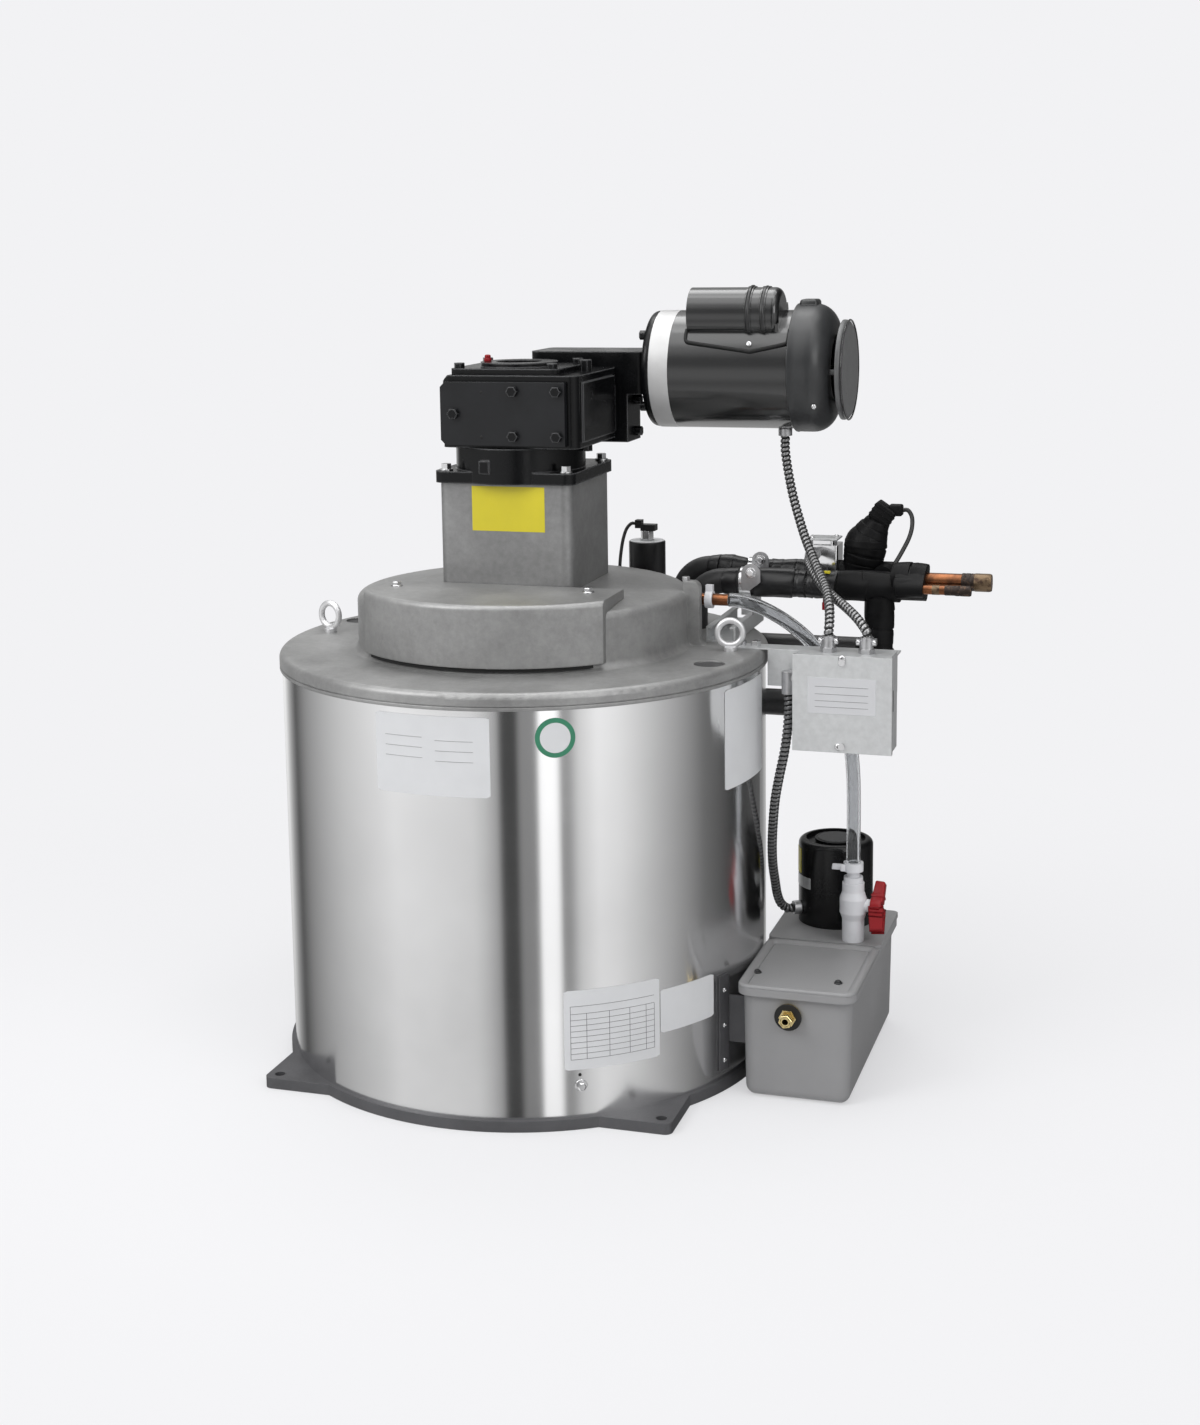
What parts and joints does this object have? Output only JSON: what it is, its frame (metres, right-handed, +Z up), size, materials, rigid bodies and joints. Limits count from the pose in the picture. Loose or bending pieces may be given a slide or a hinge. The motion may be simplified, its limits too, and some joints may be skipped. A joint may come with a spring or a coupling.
{
  "type": "flake ice machine",
  "caption": "Stand-alone drum flake ice machine: insulated freezing drum with a geared scraper drive on top, a side water tank with pump, a junction box and insulated refrigerant pipes.",
  "frame": {"origin": "on the drum's axis, at the underside of the base plate", "axes": "+Z up along the drum's axis, -Y to the front with the inspection cover, +X towards the motor's fan, the water tank and the pipe stubs"},
  "size_m": [0.9519, 0.6718, 1.0414],
  "materials": {
    "cast_aluminium": "satin",
    "base_grey": "satin",
    "bronze": "satin",
    "stainless": "brushed",
    "foam": "matte",
    "squeegee_red": "matte",
    "bright_zinc": "bright",
    "black_rubber": "matte",
    "black_paint": "satin",
    "motor_grey": "satin",
    "black_plastic": "satin",
    "copper": "satin",
    "clear_hose": "clear",
    "white_plastic": "satin",
    "red_plastic": "gloss",
    "tank_grey": "satin",
    "brass": "satin",
    "galvanised": "satin",
    "conduit": "satin"
  },
  "bodies": {
    "machine": {"top_cover": "cast_aluminium", "inspection_cover": "cast_aluminium", "pedestal": "cast_aluminium", "base_ring": "base_grey", "bottom_spider": "base_grey", "shaft_bearings": "bronze", "outer_jacket": "stainless", "evaporator_wall": "stainless", "insulation": "foam", "eye_bolts": "bright_zinc", "bright_fasteners": "bright_zinc", "pipe_clamps": "bright_zinc", "valve_block": "bright_zinc", "motor_band": "bright_zinc", "foam_plugs": "black_rubber", "insulated_pipes": "black_rubber", "actuator": "black_rubber", "cable_plugs": "black_rubber", "actuator_cable": "black_rubber", "sensor_cable": "black_rubber", "adapter_plate": "black_paint", "reducer_housing": "black_paint", "reducer_front_cover": "black_paint", "reducer_top_cap": "black_paint", "primary_housing": "black_paint", "motor_end_bell": "black_paint", "black_bolts": "black_paint", "tank_bracket": "black_paint", "motor_frame": "motor_grey", "fan_cover": "motor_grey", "fan_end_plate": "motor_grey", "capacitor_cover": "motor_grey", "pump_housing": "black_plastic", "sensor_body": "black_plastic", "inlet_tube": "copper", "copper_stubs": "copper", "supply_hose": "clear_hose", "valve_body": "white_plastic", "hose_clips": "white_plastic", "tank": "tank_grey", "tank_lid": "tank_grey", "water_fitting": "brass", "junction_box": "galvanised", "box_cover": "galvanised", "box_bracket": "galvanised", "conduit_fittings": "galvanised", "pipe_rails": "galvanised", "conduit_motor": "conduit", "conduit_aux": "conduit", "conduit_pump": "conduit"},
    "rotor": {"main_shaft": "stainless", "ice_blade": "stainless", "squeegee": "squeegee_red", "water_pan": "stainless"},
    "motor_rotor": {"motor_shaft": "stainless", "motor_fan": "black_plastic"},
    "pump_rotor": {"pump_impeller": "black_plastic"},
    "valve_lever": {"valve_handle": "red_plastic", "valve_ball": "white_plastic"},
    "float": {"float_arm": "black_plastic"}
  },
  "joints": [
    {"name": "blade_turn", "type": "hinge", "parent": "machine", "child": "rotor", "pos_m": [0, 0, 0.3], "axis": [0, 0, 1], "continuous": true},
    {"name": "motor_spin", "type": "hinge", "parent": "machine", "child": "motor_rotor", "pos_m": [0.25, 0.16, 0.927], "axis": [1, 0, 0], "continuous": true},
    {"name": "pump_spin", "type": "hinge", "parent": "machine", "child": "pump_rotor", "pos_m": [0.4056, 0.146, 0.09], "axis": [0, 0, 1], "continuous": true},
    {"name": "valve_turn", "type": "hinge", "parent": "machine", "child": "valve_lever", "pos_m": [0.446, 0.062, 0.2053], "axis": [1, 0, 0], "range_deg": [-60, 30]},
    {"name": "float_swing", "type": "hinge", "parent": "machine", "child": "float", "pos_m": [0.3996, -0.108, 0.116], "axis": [1, 0, 0], "range_deg": [0, 14]}
  ],
  "couplings": [
    {"joint": "motor_spin", "follows": "blade_turn", "ratio": 900}
  ]
}
